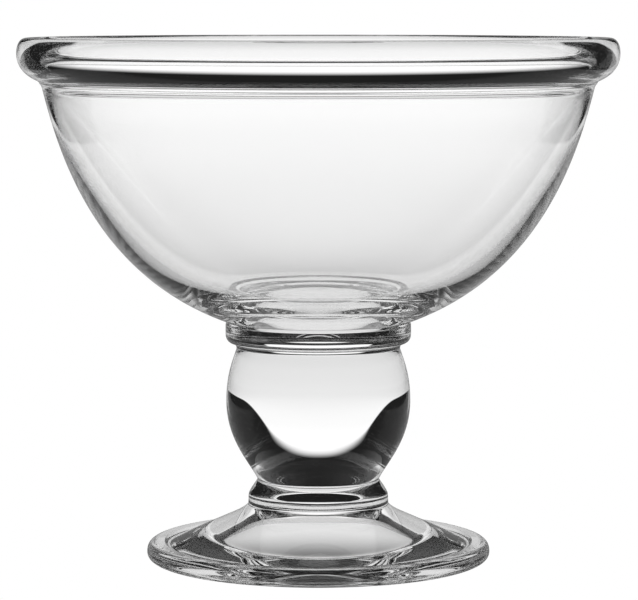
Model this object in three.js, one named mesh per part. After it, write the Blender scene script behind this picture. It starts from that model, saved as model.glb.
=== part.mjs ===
// Ice cream coupe of clear glass: a deep bowl with a heavy bead round its rim, on a short
// stem of two collars and a ball knop, on a low conical foot that is hollow underneath. The
// real thing has no loose or moving parts. It is built up hot from six masses of glass, and
// each mass is one body here: foot, lower collar, ball knop, upper collar, bowl and rim bead.
// Where two masses are fused they meet in a flat weld face of the same radius at the same
// height.
// Millimetres, +Z up, origin at the centre of the face the coupe stands on.

import * as THREE from "three";

// Facets round the axis, and along each kind of curve
const SIDES = 60;
const BEND_STEPS = 4;
const SWEEP_STEPS = 10;

// Weld faces: the neck under the lower collar, the waist under the ball, the ball's top,
// the seat under the bowl, and the ring on top of the bowl's wall
const NECK_RADIUS = 14.5;
const WAIST_RADIUS = 12.2;
const BALL_TOP_RADIUS = 16.4;
const BOWL_SEAT_RADIUS = 18.2;
const RIM_WALL = 1.45;

// Foot: a disc with a rounded edge, a fine groove inside the edge, and a straight-sided cone
// that flares into the neck
const FOOT_RADIUS = 34.6;
const FOOT_EDGE_BELOW = 1.75;
const FOOT_EDGE_ABOVE = 2.05;
const FOOT_UNDERCUT = 3.0;
const FOOT_SHOULDER = 1.8;
const GROOVE_INSET = 4.3;
const GROOVE_WIDTH = 0.7;
const GROOVE_DEPTH = 0.6;
const CONE_HEIGHT = 7.1;
const FLARE_REACH = 3.6;
const FLARE_DROP = 2.18;
const FLARE_CORNER_REACH = 0.85;
const FLARE_CORNER_DROP = 0.97;

// Under the foot: the flat ring it stands on, a slight rise inside the ring, and a conical
// cavity with a rounded mouth and roof
const STANDING_WIDTH = 4.0;
const STANDING_ROUND = 2.0;
const UNDERSIDE_RISE = 0.5;
const CAVITY_RADIUS = 20.3;
const CAVITY_MOUTH_ROUND = 1.5;
const CAVITY_ROOF_RADIUS = 7.3;
const CAVITY_ROOF_ROUND = 0.8;
const CAVITY_CROWN = 1.75;

// Lower collar: a band with a round under it and a shoulder over it
const LOWER_BAND_INSET = 0.4;
const LOWER_ROUND_HEIGHT = 1.2;
const LOWER_BAND_HEIGHT = 0.95;
const LOWER_SHOULDER_HEIGHT = 3.25;
const LOWER_SHOULDER_FULLNESS = 0.2;

// Ball knop: its radius, and how far it reaches below and above its widest level
const BALL_RADIUS = 18.54;
const BALL_BELOW = 16.0;
const BALL_ABOVE = 10.6;

// Upper collar: a low step, a swell, an upright band and a rounded top edge
const UPPER_STEP_LIP = 0.35;
const UPPER_STEP_HEIGHT = 1.0;
const UPPER_SWELL_HEIGHT = 1.9;
const UPPER_BAND_LIP = 0.45;
const UPPER_BAND_HEIGHT = 1.9;
const UPPER_EDGE_HEIGHT = 0.5;

// Bowl: its height, and the dished floor of its hollow
const BOWL_HEIGHT = 47.4;
const FLOOR_THICKNESS = 4.2;
const FLOOR_DISH = 0.5;
const FLOOR_RADIUS = 18.0;

// Rim bead: it overhangs the wall, with a small lip where the two are fused
const RIM_RADIUS = 60.0;
const BEAD_OVERHANG = 4.9;
const BEAD_LIP = 0.45;
const BEAD_LIP_HEIGHT = 0.8;
const BEAD_BELOW = 5.6;
const BEAD_ABOVE = 3.1;
const BEAD_UNDERSIDE_RISE = 1.8;
const BEAD_OUTER_ROUND = 2.1;
const BEAD_INNER_ROUND = 2.1;
const BEAD_LEAN = 2.0;
const BEAD_THROAT_LEAN = 0.4;
const BEAD_THROAT_HEIGHT = 2.9;

// Fullness of the long curves, as shares of each curve's own width and height: how far the
// curve holds its direction as it leaves one end, and as it comes to the other
const WAIST_SWEEP = { leave: [0.3, 0.24], arrive: [0, 0.5] };
const CROWN_SWEEP = { leave: [0, 0.46], arrive: [0.47, 0.27] };
const BOWL_SWEEP = { leave: [0.724, 0.203], arrive: [0.089, 0.281] };
const HOLLOW_SWEEP = { leave: [0.07, 0.43], arrive: [0.49, 0.065] };
const BEAD_SWEEP = { leave: [0, 0.48], arrive: [0.75, 0] };

// Levels of the weld faces
const EDGE_HEIGHT = FOOT_EDGE_BELOW + FOOT_EDGE_ABOVE;
const NECK_LEVEL = EDGE_HEIGHT + CONE_HEIGHT;
const WAIST_LEVEL = NECK_LEVEL + LOWER_ROUND_HEIGHT + LOWER_BAND_HEIGHT + LOWER_SHOULDER_HEIGHT;
const EQUATOR_LEVEL = WAIST_LEVEL + BALL_BELOW;
const BALL_TOP_LEVEL = EQUATOR_LEVEL + BALL_ABOVE;
const STEP_LEVEL = BALL_TOP_LEVEL + UPPER_STEP_HEIGHT;
const BOWL_LEVEL = STEP_LEVEL + UPPER_SWELL_HEIGHT + UPPER_BAND_HEIGHT + UPPER_EDGE_HEIGHT;
const RIM_LEVEL = BOWL_LEVEL + BOWL_HEIGHT;

// The wall's top ring, which the bowl and the bead share
const WALL_OUTER = RIM_RADIUS - BEAD_OVERHANG;
const WALL_INNER = WALL_OUTER - RIM_WALL;

// An outline in radius and height, made of straight and curved stretches
class Outline {
  constructor(radius, height) {
    this.points = [new THREE.Vector2(radius, height)];
  }

  get end() {
    return this.points[this.points.length - 1];
  }

  line(radius, height) {
    this.points.push(new THREE.Vector2(radius, height));
    return this;
  }

  // Rounds towards the corner and away from it again
  bend(corner, end) {
    const curve = new THREE.QuadraticBezierCurve(
      this.end,
      new THREE.Vector2(...corner),
      new THREE.Vector2(...end),
    );
    this.points.push(...curve.getPoints(BEND_STEPS).slice(1));
    return this;
  }

  // Runs to a corner and rounds it over the given reach, on the way to the next corner
  round(corner, reach, next) {
    const at = new THREE.Vector2(...corner);
    const before = this.end.clone().sub(at).setLength(reach).add(at);
    const after = new THREE.Vector2(...next).sub(at).setLength(reach).add(at);
    return this.line(before.x, before.y).bend(corner, [after.x, after.y]);
  }

  // Sweeps to the end with the given fullness
  sweep({ leave, arrive }, radius, height) {
    const start = this.end;
    const end = new THREE.Vector2(radius, height);
    const span = end.clone().sub(start);
    const curve = new THREE.CubicBezierCurve(
      start,
      start.clone().add(span.clone().multiply(new THREE.Vector2(...leave))),
      end.clone().sub(span.clone().multiply(new THREE.Vector2(...arrive))),
      end,
    );
    this.points.push(...curve.getPoints(SWEEP_STEPS).slice(1));
    return this;
  }
}

const glass = (name) =>
  new THREE.MeshStandardMaterial({
    name,
    color: 0xf4f7f6,
    roughness: 0.02,
    metalness: 0,
    transparent: true,
    opacity: 0.35,
  });

// Turns an outline round the vertical axis into a named body
function turned(name, outline) {
  const geometry = new THREE.LatheGeometry(outline.points, SIDES);
  geometry.rotateX(Math.PI / 2);
  const mesh = new THREE.Mesh(geometry, glass(name));
  mesh.name = name;
  return mesh;
}

function foot() {
  const groove = FOOT_RADIUS - GROOVE_INSET;
  const standing = FOOT_RADIUS - FOOT_UNDERCUT;
  const ring = [standing - STANDING_WIDTH, 0];
  const mouth = [CAVITY_RADIUS, UNDERSIDE_RISE];
  const roof = [CAVITY_ROOF_RADIUS, NECK_LEVEL - CAVITY_CROWN];
  const outline = new Outline(0, NECK_LEVEL - CAVITY_CROWN)
    .round(roof, CAVITY_ROOF_ROUND, mouth)
    .round(mouth, CAVITY_MOUTH_ROUND, [FOOT_RADIUS, UNDERSIDE_RISE])
    .bend([ring[0] - STANDING_ROUND, 0], ring)
    .line(standing, 0)
    .bend([FOOT_RADIUS, 0], [FOOT_RADIUS, FOOT_EDGE_BELOW])
    .bend([FOOT_RADIUS, EDGE_HEIGHT], [FOOT_RADIUS - FOOT_SHOULDER, EDGE_HEIGHT])
    .line(groove + GROOVE_WIDTH, EDGE_HEIGHT)
    .line(groove, EDGE_HEIGHT - GROOVE_DEPTH)
    .line(NECK_RADIUS + FLARE_REACH, NECK_LEVEL - FLARE_DROP)
    .bend(
      [NECK_RADIUS + FLARE_CORNER_REACH, NECK_LEVEL - FLARE_CORNER_DROP],
      [NECK_RADIUS, NECK_LEVEL],
    )
    .line(0, NECK_LEVEL);
  return turned("foot", outline);
}

function lowerCollar() {
  const band = NECK_RADIUS - LOWER_BAND_INSET;
  const bandBottom = NECK_LEVEL + LOWER_ROUND_HEIGHT;
  const bandTop = bandBottom + LOWER_BAND_HEIGHT;
  const corner = bandTop + LOWER_SHOULDER_HEIGHT * LOWER_SHOULDER_FULLNESS;
  const outline = new Outline(0, NECK_LEVEL)
    .line(NECK_RADIUS, NECK_LEVEL)
    .bend([band, NECK_LEVEL], [band, bandBottom])
    .line(band, bandTop)
    .bend([band, corner], [WAIST_RADIUS, WAIST_LEVEL])
    .line(0, WAIST_LEVEL);
  return turned("lower_collar", outline);
}

function ballKnop() {
  const outline = new Outline(0, WAIST_LEVEL)
    .line(WAIST_RADIUS, WAIST_LEVEL)
    .sweep(WAIST_SWEEP, BALL_RADIUS, EQUATOR_LEVEL)
    .sweep(CROWN_SWEEP, BALL_TOP_RADIUS, BALL_TOP_LEVEL)
    .line(0, BALL_TOP_LEVEL);
  return turned("ball_knop", outline);
}

function upperCollar() {
  const band = BOWL_SEAT_RADIUS + UPPER_BAND_LIP;
  const outline = new Outline(0, BALL_TOP_LEVEL)
    .line(BALL_TOP_RADIUS, BALL_TOP_LEVEL)
    .line(BALL_TOP_RADIUS + UPPER_STEP_LIP, STEP_LEVEL)
    .bend([band, STEP_LEVEL], [band, STEP_LEVEL + UPPER_SWELL_HEIGHT])
    .line(band, BOWL_LEVEL - UPPER_EDGE_HEIGHT)
    .bend([band, BOWL_LEVEL], [BOWL_SEAT_RADIUS, BOWL_LEVEL])
    .line(0, BOWL_LEVEL);
  return turned("upper_collar", outline);
}

function bowl() {
  const floor = BOWL_LEVEL + FLOOR_THICKNESS;
  const outline = new Outline(0, BOWL_LEVEL)
    .line(BOWL_SEAT_RADIUS, BOWL_LEVEL)
    .sweep(BOWL_SWEEP, WALL_OUTER, RIM_LEVEL)
    .line(WALL_INNER, RIM_LEVEL)
    .sweep(HOLLOW_SWEEP, FLOOR_RADIUS, floor + FLOOR_DISH)
    .bend([FLOOR_RADIUS / 2, floor], [0, floor]);
  return turned("bowl", outline);
}

function rimBead() {
  const lip = WALL_OUTER + BEAD_LIP;
  const lipTop = RIM_LEVEL + BEAD_LIP_HEIGHT;
  const widest = lipTop + BEAD_BELOW;
  const top = widest + BEAD_ABOVE;
  const inner = WALL_INNER + BEAD_LEAN;
  const half = (RIM_RADIUS - inner) / 2;
  const outerRound = Math.min(BEAD_OUTER_ROUND, half);
  const innerRound = Math.min(BEAD_INNER_ROUND, half);
  const outline = new Outline(WALL_INNER, RIM_LEVEL)
    .line(WALL_OUTER, RIM_LEVEL)
    .line(lip, RIM_LEVEL + BEAD_LIP)
    .line(lip, lipTop)
    .bend([RIM_RADIUS, lipTop + BEAD_UNDERSIDE_RISE], [RIM_RADIUS, widest])
    .sweep(BEAD_SWEEP, RIM_RADIUS - outerRound, top)
    .line(inner + innerRound, top)
    .bend([inner, top], [inner, top - innerRound])
    .bend([inner - BEAD_THROAT_LEAN, RIM_LEVEL + BEAD_THROAT_HEIGHT], [WALL_INNER, RIM_LEVEL]);
  return turned("rim_bead", outline);
}

const coupe = new THREE.Group();
coupe.name = "ice_cream_coupe";
coupe.add(foot(), lowerCollar(), ballKnop(), upperCollar(), bowl(), rimBead());

export default coupe;
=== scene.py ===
"""Ice cream coupe of clear glass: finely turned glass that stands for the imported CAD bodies."""

import math

import bpy
import numpy as np
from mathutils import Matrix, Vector


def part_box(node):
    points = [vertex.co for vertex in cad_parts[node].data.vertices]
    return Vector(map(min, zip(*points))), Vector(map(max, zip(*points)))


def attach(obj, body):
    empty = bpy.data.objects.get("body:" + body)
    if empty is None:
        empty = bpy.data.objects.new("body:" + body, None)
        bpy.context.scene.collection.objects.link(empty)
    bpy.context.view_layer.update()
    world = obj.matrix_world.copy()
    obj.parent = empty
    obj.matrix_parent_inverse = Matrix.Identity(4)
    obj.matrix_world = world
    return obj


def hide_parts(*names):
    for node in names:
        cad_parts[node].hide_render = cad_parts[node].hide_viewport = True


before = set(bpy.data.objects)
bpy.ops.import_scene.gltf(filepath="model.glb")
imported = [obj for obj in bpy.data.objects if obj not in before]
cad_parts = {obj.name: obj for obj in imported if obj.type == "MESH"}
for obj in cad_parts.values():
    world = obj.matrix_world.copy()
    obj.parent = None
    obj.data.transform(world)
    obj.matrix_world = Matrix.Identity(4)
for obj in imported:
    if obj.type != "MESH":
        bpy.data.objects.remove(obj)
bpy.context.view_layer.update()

MM = 0.001

# Camera: a long lens a little above the rim
CAMERA_DISTANCE = 620 * MM
CAMERA_HEIGHT = 111.4 * MM
AIM = Vector((0.14 * MM, 0, 52.5 * MM))
SENSOR_WIDTH = 36.0
LENS = 174.85
CLIP_START = 0.01
CLIP_END = 50
BOUNCES = 64

# Fineness of the turned glass
SIDES = 256
FINE_STEP = 0.05 * MM
SOFTENING = 0.25 * MM
LONGEST_STEP = 1.0 * MM
MOST_TURN = math.radians(3.0)

# The bodies of the frame, bottom to top, and their material slots
SLOTS = {
    "foot": "foot_glass",
    "lower_collar": "lower_collar_glass",
    "ball_knop": "ball_glass",
    "upper_collar": "upper_collar_glass",
    "bowl": "bowl_glass",
    "rim_bead": "rim_glass",
}

# Levels of the welds and widest radii, from the frame
NECK_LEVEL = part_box("foot")[1].z
WAIST_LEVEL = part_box("lower_collar")[1].z
BALL_TOP_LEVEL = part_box("ball_knop")[1].z
BOWL_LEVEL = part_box("upper_collar")[1].z
RIM_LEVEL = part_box("bowl")[1].z
TOP_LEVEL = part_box("rim_bead")[1].z
WELD_LEVELS = (NECK_LEVEL, WAIST_LEVEL, BALL_TOP_LEVEL, BOWL_LEVEL, RIM_LEVEL)
FOOT_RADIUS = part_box("foot")[1].x
NECK_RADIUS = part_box("lower_collar")[1].x
BALL_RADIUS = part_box("ball_knop")[1].x
WALL_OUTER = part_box("bowl")[1].x
RIM_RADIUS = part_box("rim_bead")[1].x

# Weld radii that the frame's boxes don't show
WAIST_RADIUS = 12.2 * MM
BALL_TOP_RADIUS = 16.4 * MM
BOWL_SEAT_RADIUS = 18.2 * MM
RIM_WALL = 1.45 * MM

# Under the foot: the flat ring it stands on, and a conical cavity with a rounded mouth and roof
STANDING_WIDTH = 4.0 * MM
STANDING_ROUND = 2.0 * MM
UNDERSIDE_RISE = 0.5 * MM
CAVITY_RADIUS = 20.3 * MM
CAVITY_MOUTH_ROUND = 1.5 * MM
CAVITY_ROOF_RADIUS = 7.3 * MM
CAVITY_ROOF_ROUND = 0.8 * MM
CAVITY_CROWN = 1.75 * MM

# Foot: a disc with a rounded edge and a fine groove, and a cone that flares into the neck
FOOT_EDGE_BELOW = 1.75 * MM
FOOT_EDGE_HEIGHT = 3.8 * MM
FOOT_UNDERCUT = 3.0 * MM
FOOT_SHOULDER = 1.8 * MM
GROOVE_INSET = 4.3 * MM
GROOVE_WIDTH = 0.7 * MM
GROOVE_DEPTH = 0.6 * MM
FLARE_REACH = 3.6 * MM
FLARE_DROP = 2.18 * MM
FLARE_CORNER_REACH = 0.85 * MM
FLARE_CORNER_DROP = 0.97 * MM

# Lower collar: a band with a round under it and a shoulder over it
LOWER_BAND_INSET = 0.4 * MM
LOWER_ROUND_HEIGHT = 1.2 * MM
LOWER_BAND_HEIGHT = 0.95 * MM
LOWER_SHOULDER_CORNER = 0.65 * MM

# Ball knop: how far it reaches below its widest level
BALL_BELOW = 16.0 * MM

# Upper collar: a low step, a swell, an upright band and a rounded top edge
UPPER_STEP_LIP = 0.35 * MM
UPPER_STEP_HEIGHT = 1.0 * MM
UPPER_SWELL_HEIGHT = 1.9 * MM
UPPER_BAND_LIP = 0.45 * MM
UPPER_EDGE_HEIGHT = 0.5 * MM

# Bowl: the dished floor of its hollow
FLOOR_THICKNESS = 4.2 * MM
FLOOR_DISH = 0.5 * MM
FLOOR_RADIUS = 18.0 * MM

# Rim bead: it overhangs the wall, with a small lip where the two are fused
BEAD_LIP = 0.45 * MM
BEAD_LIP_HEIGHT = 0.8 * MM
BEAD_ABOVE = 3.1 * MM
BEAD_UNDERSIDE_RISE = 1.8 * MM
BEAD_OUTER_ROUND = 2.1 * MM
BEAD_INNER_ROUND = 2.1 * MM
BEAD_LEAN = 2.0 * MM
BEAD_THROAT_LEAN = 0.4 * MM
BEAD_THROAT_HEIGHT = 2.9 * MM

# Fullness of the long curves, as shares of each curve's own width and height: how far the
# curve holds its direction as it leaves one end, and as it comes to the other
WAIST_SWEEP = ((0.3, 0.24), (0, 0.5))
CROWN_SWEEP = ((0, 0.46), (0.47, 0.27))
BOWL_SWEEP = ((0.724, 0.203), (0.089, 0.281))
HOLLOW_SWEEP = ((0.07, 0.43), (0.49, 0.065))
BEAD_SWEEP = ((0, 0.48), (0.75, 0))

GLASS_IOR = 1.51

# Studio: a white table, and a backdrop that it curves up into
SHEET_GAP = 0.3 * MM
SHEET_HALF = 2.5
TABLE_DEPTH = 240 * MM
BACKDROP_RADIUS = 435 * MM
BACKDROP_SLOPE = math.radians(38)
BACKDROP_RISE = 1.2
BACKDROP_STEPS = 32

# Light on the two sheets, in shares of white: brighter with distance and height inside a
# soft-edged field, whose edge softens with height, and dark round it
DARK = 0.013
LIGHT_NEAR = 0.80
LIGHT_FAR = 1.06
LIGHT_NEAR_AT = 60 * MM
LIGHT_FAR_AT = 450 * MM
LIGHT_RISE = 0.06
LIGHT_RISE_FROM = 40 * MM
LIGHT_RISE_TO = 100 * MM
FIELD_HALF_WIDTH = 212 * MM
FIELD_TOP = 237 * MM
FIELD_ROUNDNESS = 2.8
FIELD_FRONT = -10 * MM
FIELD_FRONT_EDGE = 16 * MM
FIELD_EDGE_LOW = 0.03
FIELD_EDGE_HIGH = 0.27
FIELD_EDGE_FROM = 60 * MM
FIELD_EDGE_TO = 200 * MM
MIRRORED_SHARE = 0.25

# The lit room that the glass shows low down in front and at the sides. Its edge and top are
# directions: the shares of a direction that point to the back and up.
ROOM_LIGHT = 0.72
ROOM_EDGE = 0.30
ROOM_TOP = 0.0
ROOM_SOFT = 0.05
ROOM_GAP = 115 * MM
ROOM_GAP_SOFT = 40 * MM


class Outline:
    """An outline in radius and height, made of straight and curved stretches."""

    def __init__(self, radius, height):
        self.points = [np.array((radius, height))]

    def line(self, radius, height):
        return self.curve([self.points[-1], (radius, height)])

    def bend(self, corner, end):
        return self.curve([self.points[-1], corner, end])

    def sweep(self, fullness, radius, height):
        leave, arrive = fullness
        start, end = self.points[-1], np.array((radius, height))
        span = end - start
        return self.curve([start, start + span * leave, end - span * arrive, end])

    def curve(self, handles):
        """A Bezier curve of any degree, walked in fine steps."""
        handles = [np.array(h, float) for h in handles]
        length = sum(np.linalg.norm(b - a) for a, b in zip(handles, handles[1:]))
        steps = max(2, int(length / FINE_STEP))
        for i in range(1, steps + 1):
            t = i / steps
            row = handles
            while len(row) > 1:
                row = [a * (1 - t) + b * t for a, b in zip(row, row[1:])]
            self.points.append(row[0])
        return self


def rounded(line, corner, reach, onward):
    """Runs the line to a corner and rounds it over the given reach."""
    corner, onward = np.array(corner), np.array(onward)
    back = line.points[-1] - corner
    ahead = onward - corner
    line.line(*(corner + back * reach / np.linalg.norm(back)))
    line.bend(corner, corner + ahead * reach / np.linalg.norm(ahead))


def whole_outline():
    """The glass from the cavity's roof, up the outside and down into the bowl's hollow."""
    # cavity and standing ring
    mouth = (CAVITY_RADIUS, UNDERSIDE_RISE)
    roof = (CAVITY_ROOF_RADIUS, NECK_LEVEL - CAVITY_CROWN)
    standing = FOOT_RADIUS - FOOT_UNDERCUT
    ring = standing - STANDING_WIDTH
    line = Outline(0, roof[1])
    rounded(line, roof, CAVITY_ROOF_ROUND, mouth)
    rounded(line, mouth, CAVITY_MOUTH_ROUND, (FOOT_RADIUS, UNDERSIDE_RISE))
    line.bend((ring - STANDING_ROUND, 0), (ring, 0))
    line.line(standing, 0)
    # foot
    groove = FOOT_RADIUS - GROOVE_INSET
    line.bend((FOOT_RADIUS, 0), (FOOT_RADIUS, FOOT_EDGE_BELOW))
    line.bend((FOOT_RADIUS, FOOT_EDGE_HEIGHT), (FOOT_RADIUS - FOOT_SHOULDER, FOOT_EDGE_HEIGHT))
    line.line(groove + GROOVE_WIDTH, FOOT_EDGE_HEIGHT)
    line.line(groove, FOOT_EDGE_HEIGHT - GROOVE_DEPTH)
    line.line(NECK_RADIUS + FLARE_REACH, NECK_LEVEL - FLARE_DROP)
    flare = (NECK_RADIUS + FLARE_CORNER_REACH, NECK_LEVEL - FLARE_CORNER_DROP)
    line.bend(flare, (NECK_RADIUS, NECK_LEVEL))
    # lower collar
    band = NECK_RADIUS - LOWER_BAND_INSET
    band_bottom = NECK_LEVEL + LOWER_ROUND_HEIGHT
    band_top = band_bottom + LOWER_BAND_HEIGHT
    line.bend((band, NECK_LEVEL), (band, band_bottom))
    line.line(band, band_top)
    line.bend((band, band_top + LOWER_SHOULDER_CORNER), (WAIST_RADIUS, WAIST_LEVEL))
    # ball
    line.sweep(WAIST_SWEEP, BALL_RADIUS, WAIST_LEVEL + BALL_BELOW)
    line.sweep(CROWN_SWEEP, BALL_TOP_RADIUS, BALL_TOP_LEVEL)
    # upper collar
    band = BOWL_SEAT_RADIUS + UPPER_BAND_LIP
    step = BALL_TOP_LEVEL + UPPER_STEP_HEIGHT
    line.line(BALL_TOP_RADIUS + UPPER_STEP_LIP, step)
    line.bend((band, step), (band, step + UPPER_SWELL_HEIGHT))
    line.line(band, BOWL_LEVEL - UPPER_EDGE_HEIGHT)
    line.bend((band, BOWL_LEVEL), (BOWL_SEAT_RADIUS, BOWL_LEVEL))
    # bowl
    line.sweep(BOWL_SWEEP, WALL_OUTER, RIM_LEVEL)
    # bead
    lip = WALL_OUTER + BEAD_LIP
    lip_top = RIM_LEVEL + BEAD_LIP_HEIGHT
    wall_inner = WALL_OUTER - RIM_WALL
    inner = wall_inner + BEAD_LEAN
    line.line(lip, RIM_LEVEL + BEAD_LIP)
    line.line(lip, lip_top)
    line.bend((RIM_RADIUS, lip_top + BEAD_UNDERSIDE_RISE), (RIM_RADIUS, TOP_LEVEL - BEAD_ABOVE))
    line.sweep(BEAD_SWEEP, RIM_RADIUS - BEAD_OUTER_ROUND, TOP_LEVEL)
    line.line(inner + BEAD_INNER_ROUND, TOP_LEVEL)
    line.bend((inner, TOP_LEVEL), (inner, TOP_LEVEL - BEAD_INNER_ROUND))
    line.bend((inner - BEAD_THROAT_LEAN, RIM_LEVEL + BEAD_THROAT_HEIGHT), (wall_inner, RIM_LEVEL))
    # hollow
    floor = BOWL_LEVEL + FLOOR_THICKNESS
    line.sweep(HOLLOW_SWEEP, FLOOR_RADIUS, floor + FLOOR_DISH)
    line.bend((FLOOR_RADIUS / 2, floor), (0, floor))
    return np.array(line.points)


def evenly(points, step):
    """The same line with its points evenly apart."""
    gaps = np.linalg.norm(np.diff(points, axis=0), axis=1)
    along = np.concatenate(([0], np.cumsum(gaps)))
    keep = np.concatenate(([True], gaps > 0))
    even = np.linspace(0, along[-1], int(along[-1] / step) + 1)
    return np.column_stack([np.interp(even, along[keep], points[keep, k]) for k in (0, 1)])


def softened(points, reach):
    """Rounds every crease over the given reach and keeps the ends on the axis."""
    points = evenly(points, FINE_STEP)
    spread = int(4 * reach / FINE_STEP)
    weights = np.exp(-0.5 * (np.arange(-spread, spread + 1) * FINE_STEP / reach) ** 2)
    weights /= weights.sum()
    # Past the axis the outline goes on as its mirror image
    before = points[1 : spread + 1][::-1] * (-1, 1)
    after = points[-spread - 1 : -1][::-1] * (-1, 1)
    longer = np.vstack((before, points, after))
    soft = np.column_stack([np.convolve(longer[:, k], weights, "valid") for k in (0, 1)])
    soft[0, 0] = soft[-1, 0] = 0
    return soft


def outward(points):
    """Unit normals of the outline, away from the glass."""
    along = np.gradient(points, axis=0)
    along /= np.linalg.norm(along, axis=1)[:, None]
    return np.column_stack((along[:, 1], -along[:, 0]))


def crossing(outline, level, start=0):
    """The first index from start on whose next point lies across the level."""
    heights = outline[start:, 1] - level
    return start + int(np.argmax(heights[:-1] * heights[1:] <= 0))


def thinned(points, normals):
    """The rings that a piece keeps, closer together where the outline turns."""
    keep = [0]
    turned = gone = 0.0
    for i in range(1, len(points) - 1):
        turned += math.acos(max(-1, min(1, float(normals[i] @ normals[i - 1]))))
        gone += float(np.linalg.norm(points[i] - points[i - 1]))
        if turned >= MOST_TURN or gone >= LONGEST_STEP:
            keep.append(i)
            turned = gone = 0.0
    keep.append(len(points) - 1)
    return keep


class Turning:
    """A body turned round the axis: polished faces from outline runs, and weld faces."""

    def __init__(self):
        self.verts = []
        self.normals = []
        self.faces = []
        self.welds = []
        self.turns = [
            (math.cos(2 * math.pi * k / SIDES), math.sin(2 * math.pi * k / SIDES))
            for k in range(SIDES)
        ]

    def ring(self, radius, height, normal):
        first = len(self.verts)
        if radius < FINE_STEP / 2:
            self.verts.append((0, 0, height))
            self.normals.append((0, 0, math.copysign(1, normal[1])))
            return [first]
        for c, s in self.turns:
            self.verts.append((radius * c, radius * s, height))
            self.normals.append((normal[0] * c, normal[0] * s, normal[1]))
        return list(range(first, first + SIDES))

    def bridge(self, low, high, weld=0):
        for k in range(SIDES):
            j = (k + 1) % SIDES
            if len(low) == 1:
                face = (low[0], high[j], high[k])
            elif len(high) == 1:
                face = (low[k], low[j], high[0])
            else:
                face = (low[k], low[j], high[j], high[k])
            self.faces.append(face)
            self.welds.append(weld)

    def run(self, points, normals):
        """Polished faces along a run of the outline. Gives the rings at its two ends."""
        rings = [self.ring(*points[i], normals[i]) for i in thinned(points, normals)]
        for low, high in zip(rings, rings[1:]):
            self.bridge(low, high)
        return rings[0], rings[-1]

    def disc(self, edge, up):
        """A weld face from an edge ring to the axis."""
        centre = self.ring(0, self.verts[edge[0]][2], (0, up))
        if up > 0:
            self.bridge(edge, centre, up)
        else:
            self.bridge(centre, edge, up)

    def mesh(self, name, materials):
        mesh = bpy.data.meshes.new(name)
        mesh.from_pydata(self.verts, [], self.faces)
        for material in materials:
            mesh.materials.append(material)
        polygons = mesh.polygons
        polygons.foreach_set("material_index", [1 if w else 0 for w in self.welds])
        polygons.foreach_set("use_smooth", [True] * len(polygons))
        corner_normals = []
        for polygon, weld in zip(polygons, self.welds):
            for v in polygon.vertices:
                corner_normals.append((0, 0, weld) if weld else self.normals[v])
        mesh.normals_split_custom_set(corner_normals)
        mesh.update()
        piece = bpy.data.objects.new(name, mesh)
        bpy.context.scene.collection.objects.link(piece)
        return piece


def make_pieces(polished, weld):
    """Cuts the softened outline at the welds and turns each part of it into its own piece."""
    outline = softened(whole_outline(), SOFTENING)
    outline[:, 1] -= outline[:, 1].min()
    normals = outward(outline)
    cuts = [0]
    for level in WELD_LEVELS:
        cuts.append(crossing(outline, level, cuts[-1]))
    inside = crossing(outline, RIM_LEVEL, int(np.argmax(outline[:, 1])))
    # Each end ring lies exactly on its weld's level
    outline[cuts[1:], 1] = WELD_LEVELS
    outline[inside, 1] = RIM_LEVEL
    # The bowl has two runs, its outside and its hollow, and the bead goes over between them
    runs = [[(start, end)] for start, end in zip(cuts, cuts[1:])]
    runs[-1].append((inside, len(outline) - 1))
    runs.append([(cuts[-1], inside)])
    for (name, slot), stretches in zip(SLOTS.items(), runs):
        body = Turning()
        ends = [body.run(outline[a : b + 1], normals[a : b + 1]) for a, b in stretches]
        bottom, top = ends[0]
        if name == "rim_bead":
            body.bridge(top, bottom, -1)
        elif name == "bowl":
            body.bridge(top, ends[1][0], 1)
            body.disc(bottom, -1)
        else:
            if len(bottom) > 1:
                body.disc(bottom, -1)
            body.disc(top, 1)
        piece = body.mesh("glass_" + name, (polished, weld))
        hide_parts(name)
        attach(piece, "root")


class Tree:
    """Short calls for building a node tree."""

    def __init__(self, owner):
        owner.use_nodes = True
        self.nodes = owner.node_tree.nodes
        self.links = owner.node_tree.links
        self.nodes.clear()

    def add(self, kind, inputs=None, **settings):
        node = self.nodes.new(kind)
        for key, value in settings.items():
            setattr(node, key, value)
        for key, value in (inputs or {}).items():
            if isinstance(value, bpy.types.NodeSocket):
                self.links.new(value, node.inputs[key])
            else:
                node.inputs[key].default_value = value
        return node

    def math(self, operation, *values):
        return self.add("ShaderNodeMath", dict(enumerate(values)), operation=operation).outputs[0]

    def smooth(self, value, low, high, out_low=0.0, out_high=1.0):
        node = self.add(
            "ShaderNodeMapRange",
            {"Value": value, "From Min": low, "From Max": high, "To Min": out_low, "To Max": out_high},
            interpolation_type="SMOOTHSTEP",
        )
        return node.outputs["Result"]

    def below(self, value, edge, soft, full):
        """Full below the edge and nothing above it, with a soft change over it."""
        return self.smooth(value, edge - soft, edge + soft, full, 0.0)


def polished_glass():
    material = bpy.data.materials.new("clear_glass")
    tree = Tree(material)
    shader = tree.add(
        "ShaderNodeBsdfPrincipled",
        {
            "Base Color": (1.0, 1.0, 1.0, 1),
            "Roughness": 0.0,
            "IOR": GLASS_IOR,
            "Transmission Weight": 1.0,
        },
    )
    tree.add("ShaderNodeOutputMaterial", {"Surface": shader.outputs[0]})
    return material


def weld_glass():
    """Nothing is seen where two masses of the same glass are fused."""
    material = bpy.data.materials.new("weld")
    tree = Tree(material)
    shader = tree.add("ShaderNodeBsdfPrincipled", {"IOR": GLASS_IOR, "Alpha": 0.0})
    tree.add("ShaderNodeOutputMaterial", {"Surface": shader.outputs[0]})
    return material


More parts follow.
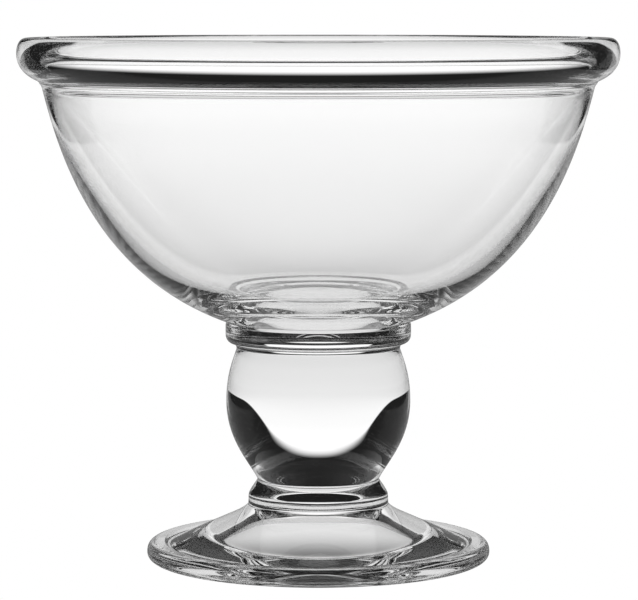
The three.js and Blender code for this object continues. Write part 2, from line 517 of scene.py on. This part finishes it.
def make_world():
    """White for the camera. Through the glass: dark, with a lit room low down in front."""
    world = bpy.data.worlds.new("studio")
    bpy.context.scene.world = world
    tree = Tree(world)
    path = tree.add("ShaderNodeLightPath")
    towards = tree.add("ShaderNodeTexCoord").outputs["Generated"]
    direction = tree.add("ShaderNodeSeparateXYZ", {"Vector": towards}).outputs
    room = tree.below(direction["Y"], ROOM_EDGE, ROOM_SOFT, ROOM_LIGHT)
    room = tree.math("MULTIPLY", room, tree.below(direction["Z"], ROOM_TOP, ROOM_SOFT, 1.0))
    room = tree.math("MULTIPLY", room, path.outputs["Is Transmission Ray"])
    strength = tree.math("MAXIMUM", path.outputs["Is Camera Ray"], tree.math("MAXIMUM", room, DARK))
    background = tree.add("ShaderNodeBackground", {"Color": (1, 1, 1, 1), "Strength": strength})
    tree.add("ShaderNodeOutputWorld", {"Surface": background.outputs[0]})


def sheet_light():
    """How brightly each place on the two sheets is lit."""
    material = bpy.data.materials.new("white_sweep")
    tree = Tree(material)
    place = tree.add("ShaderNodeNewGeometry").outputs["Position"]
    x, y, z = tree.add("ShaderNodeSeparateXYZ", {"Vector": place}).outputs
    away = tree.add("ShaderNodeVectorMath", {0: place}, operation="LENGTH").outputs["Value"]
    height = tree.math("MAXIMUM", z, 0.0)
    light = tree.smooth(away, LIGHT_NEAR_AT, LIGHT_FAR_AT, LIGHT_NEAR, LIGHT_FAR)
    rise = tree.smooth(height, LIGHT_RISE_FROM, LIGHT_RISE_TO, 0.0, LIGHT_RISE)
    light = tree.math("ADD", light, rise)
    # The lit field's outline
    across = tree.math("DIVIDE", tree.math("ABSOLUTE", x), FIELD_HALF_WIDTH)
    up = tree.math("DIVIDE", height, FIELD_TOP)
    across = tree.math("POWER", across, FIELD_ROUNDNESS)
    up = tree.math("POWER", up, FIELD_ROUNDNESS)
    reach = tree.math("POWER", tree.math("ADD", across, up), 1 / FIELD_ROUNDNESS)
    edge = tree.smooth(height, FIELD_EDGE_FROM, FIELD_EDGE_TO, FIELD_EDGE_LOW, FIELD_EDGE_HIGH)
    field = tree.smooth(reach, tree.math("SUBTRACT", 1.0, edge), tree.math("ADD", 1.0, edge), 1.0, 0.0)
    front = tree.smooth(y, FIELD_FRONT - FIELD_FRONT_EDGE, FIELD_FRONT + FIELD_FRONT_EDGE)
    light = tree.math("MULTIPLY", light, tree.math("MULTIPLY", field, front))
    # The table far in front and at the sides belongs to the lit room
    path = tree.add("ShaderNodeLightPath")
    room = tree.smooth(away, ROOM_GAP - ROOM_GAP_SOFT, ROOM_GAP + ROOM_GAP_SOFT, 0.0, ROOM_LIGHT)
    room_front = tree.below(tree.math("DIVIDE", y, away), ROOM_EDGE, ROOM_SOFT, 1.0)
    room = tree.math("MULTIPLY", room, room_front)
    room = tree.math("MULTIPLY", room, path.outputs["Is Transmission Ray"])
    # The glass mirrors the field dimly
    mirrored = tree.math("MULTIPLY_ADD", path.outputs["Is Reflection Ray"], MIRRORED_SHARE - 1.0, 1.0)
    light = tree.math("MULTIPLY", light, mirrored)
    light = tree.math("MAXIMUM", tree.math("MAXIMUM", light, room), DARK)
    strength = tree.math("MAXIMUM", light, path.outputs["Is Camera Ray"])
    shader = tree.add("ShaderNodeEmission", {"Strength": strength})
    tree.add("ShaderNodeOutputMaterial", {"Surface": shader.outputs[0]})
    return material


def make_sheet(name, profile, material):
    """A sheet as wide as the studio that follows a profile in depth and height."""
    verts = []
    for y, z in profile:
        verts += [(-SHEET_HALF, y, z - SHEET_GAP), (SHEET_HALF, y, z - SHEET_GAP)]
    faces = [(2 * i, 2 * i + 1, 2 * i + 3, 2 * i + 2) for i in range(len(profile) - 1)]
    mesh = bpy.data.meshes.new(name)
    mesh.from_pydata(verts, [], faces)
    mesh.materials.append(material)
    sheet = bpy.data.objects.new(name, mesh)
    bpy.context.scene.collection.objects.link(sheet)
    return sheet


def make_studio():
    """A white table, and behind it a backdrop that it curves up into. The backdrop is for the
    glass alone: to the camera the world behind it is as white, and no view is blocked by it."""
    material = sheet_light()
    make_sheet("table", [(-SHEET_HALF, 0), (0, 0), (TABLE_DEPTH, 0)], material)
    profile = []
    for i in range(BACKDROP_STEPS + 1):
        angle = BACKDROP_SLOPE * i / BACKDROP_STEPS
        y = TABLE_DEPTH + BACKDROP_RADIUS * math.sin(angle)
        z = BACKDROP_RADIUS * (1 - math.cos(angle))
        profile.append((y, z))
    top = (y + BACKDROP_RISE * math.cos(BACKDROP_SLOPE), z + BACKDROP_RISE * math.sin(BACKDROP_SLOPE))
    profile.append(top)
    backdrop = make_sheet("backdrop", profile, material)
    backdrop.visible_camera = False


def make_camera():
    data = bpy.data.cameras.new("camera")
    data.sensor_width = SENSOR_WIDTH
    data.lens = LENS
    data.clip_start = CLIP_START
    data.clip_end = CLIP_END
    camera = bpy.data.objects.new("camera", data)
    bpy.context.scene.collection.objects.link(camera)
    camera.location = (0, -CAMERA_DISTANCE, CAMERA_HEIGHT)
    camera.rotation_euler = (AIM - camera.location).to_track_quat("-Z", "Y").to_euler()
    bpy.context.scene.camera = camera


def settings():
    """Plain view settings, and bounces enough for light to pass through all the glass."""
    scene = bpy.context.scene
    scene.view_settings.view_transform = "Standard"
    scene.cycles.max_bounces = BOUNCES
    scene.cycles.transmission_bounces = BOUNCES
    scene.cycles.glossy_bounces = BOUNCES
    scene.cycles.transparent_max_bounces = BOUNCES


make_camera()
settings()
make_world()
make_studio()
make_pieces(polished_glass(), weld_glass())
